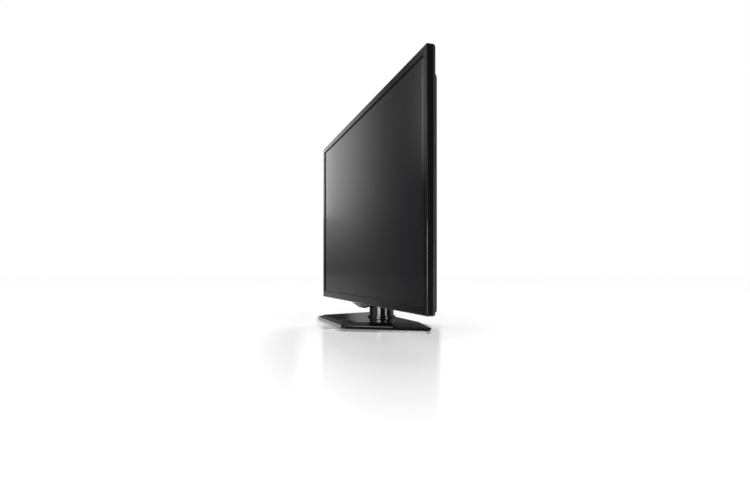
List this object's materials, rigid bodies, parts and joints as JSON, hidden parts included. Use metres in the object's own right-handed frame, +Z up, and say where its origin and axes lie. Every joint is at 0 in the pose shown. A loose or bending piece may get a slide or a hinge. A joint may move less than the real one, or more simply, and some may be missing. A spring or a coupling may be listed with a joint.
{
  "type": "flat screen television",
  "caption": "Thin-bezel flat screen television with a raised rear housing, jacks, buttons and a round neck that swivels on a bevelled foot.",
  "frame": {"origin": "on the surface that the foot stands on, under the middle of the foot", "axes": "+X to the viewer's right, +Y from the screen to the back, +Z up"},
  "size_m": [0.973, 0.206, 0.62],
  "materials": {
    "gloss_black": "high gloss piano black moulding",
    "satin_black": "satin black bezel moulding",
    "textured_black": "fine spark-eroded black moulding",
    "screen_glass": "anti-glare polariser over a dark cell",
    "dark_window": "dark infrared window",
    "clear_guide": "clear moulded light guide",
    "white_sheet": "white optical sheet",
    "milky_plate": "milky diffuser plate",
    "grey_frame": "dark moulded frame",
    "zinc_steel": "zinc-plated sheet steel",
    "painted_steel": "black powder-coated steel",
    "screw_steel": "blackened steel screws",
    "board_green": "green lacquered circuit board",
    "finned_aluminium": "extruded aluminium",
    "nickel": "nickel-plated connector shells",
    "brass_bush": "threaded brass bushes",
    "ribbon_white": "flat ribbon cable",
    "button_black": "satin black key caps",
    "rubber_pad": "soft rubber pads"
  },
  "bodies": {
    "foot": {"foot_cover": "gloss_black", "foot_plate": "painted_steel", "foot_screws": "screw_steel", "rubber_feet": "rubber_pad", "bearing_plate": "zinc_steel", "bearing_screws": "screw_steel", "swivel_ring": "gloss_black"},
    "set": {"antenna_socket": "nickel", "av_jacks": "nickel", "board_screws": "screw_steel", "chassis": "zinc_steel", "cover_screws": "screw_steel", "diffuser_plate": "milky_plate", "front_bezel": "satin_black", "hdmi_sockets": "nickel", "heat_sink": "finned_aluminium", "indicator_guide": "clear_guide", "jack_plate": "painted_steel", "key_board": "board_green", "key_frame": "grey_frame", "lcd_panel": "screen_glass", "light_bars": "ribbon_white", "main_board": "board_green", "mains_inlet": "textured_black", "neck_core": "painted_steel", "neck_cover": "gloss_black", "optical_films": "white_sheet", "optical_socket": "textured_black", "panel_frame": "grey_frame", "power_board": "board_green", "rear_cover": "textured_black", "reflector": "white_sheet", "retaining_washer": "zinc_steel", "ribbon_cable": "ribbon_white", "sensor_board": "board_green", "sensor_housing": "satin_black", "sensor_window": "dark_window", "speaker_left": "textured_black", "speaker_right": "textured_black", "stand_bracket": "zinc_steel", "stand_screws": "screw_steel", "swivel_shaft": "zinc_steel", "timing_board": "board_green", "usb_socket": "nickel", "wall_mount_bushes": "brass_bush", "washer_screws": "screw_steel"},
    "power_button": {"power_button": "button_black"},
    "input_button": {"input_button": "button_black"},
    "menu_button": {"menu_button": "button_black"},
    "ok_button": {"ok_button": "button_black"},
    "volume_up_button": {"volume_up_button": "button_black"},
    "volume_down_button": {"volume_down_button": "button_black"},
    "channel_up_button": {"channel_up_button": "button_black"},
    "channel_down_button": {"channel_down_button": "button_black"}
  },
  "joints": [
    {"name": "set_swivel", "type": "hinge", "parent": "foot", "child": "set", "pos_m": [0, 0.0595, 0.02], "axis": [0, 0, 1], "range_deg": [-20, 20]},
    {"name": "power_press", "type": "slide", "parent": "set", "child": "power_button", "axis": [0, -1, 0], "range_m": [0, 0.0008], "stiffness_N_per_m": 900, "springref_m": -0.0006},
    {"name": "input_press", "type": "slide", "parent": "set", "child": "input_button", "axis": [0, -1, 0], "range_m": [0, 0.0008], "stiffness_N_per_m": 900, "springref_m": -0.0006},
    {"name": "menu_press", "type": "slide", "parent": "set", "child": "menu_button", "axis": [0, -1, 0], "range_m": [0, 0.0008], "stiffness_N_per_m": 900, "springref_m": -0.0006},
    {"name": "ok_press", "type": "slide", "parent": "set", "child": "ok_button", "axis": [0, -1, 0], "range_m": [0, 0.0008], "stiffness_N_per_m": 900, "springref_m": -0.0006},
    {"name": "volume_up_press", "type": "slide", "parent": "set", "child": "volume_up_button", "axis": [0, -1, 0], "range_m": [0, 0.0008], "stiffness_N_per_m": 900, "springref_m": -0.0006},
    {"name": "volume_down_press", "type": "slide", "parent": "set", "child": "volume_down_button", "axis": [0, -1, 0], "range_m": [0, 0.0008], "stiffness_N_per_m": 900, "springref_m": -0.0006},
    {"name": "channel_up_press", "type": "slide", "parent": "set", "child": "channel_up_button", "axis": [0, -1, 0], "range_m": [0, 0.0008], "stiffness_N_per_m": 900, "springref_m": -0.0006},
    {"name": "channel_down_press", "type": "slide", "parent": "set", "child": "channel_down_button", "axis": [0, -1, 0], "range_m": [0, 0.0008], "stiffness_N_per_m": 900, "springref_m": -0.0006}
  ]
}
